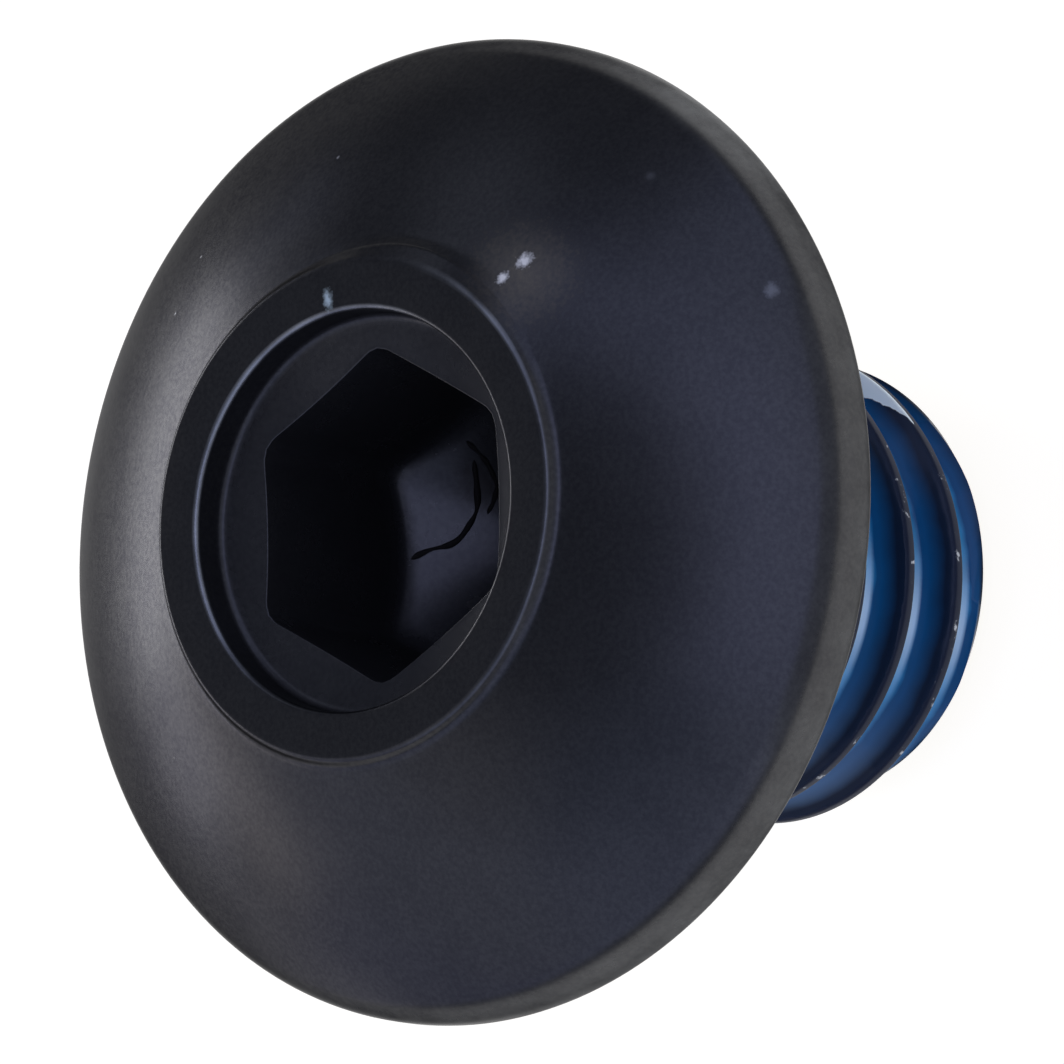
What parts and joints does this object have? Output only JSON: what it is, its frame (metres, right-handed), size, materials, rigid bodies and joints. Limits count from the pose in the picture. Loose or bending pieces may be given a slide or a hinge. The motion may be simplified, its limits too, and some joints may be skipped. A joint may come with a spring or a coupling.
{
  "type": "button head socket screw",
  "caption": "Short metric machine screw with a low domed button head, a hexagon socket and a thread coated in blue locking film.",
  "frame": {"origin": "centre of the flat face at the tip, on which the screw stands", "axes": "+Z along the screw's axis from the tip to the head, +X through a corner of the hexagon socket"},
  "size_m": [0.01, 0.01, 0.0078],
  "materials": {
    "black_oxide_steel": "satin"
  },
  "bodies": {
    "root": {"screw": "black_oxide_steel"}
  },
  "joints": []
}
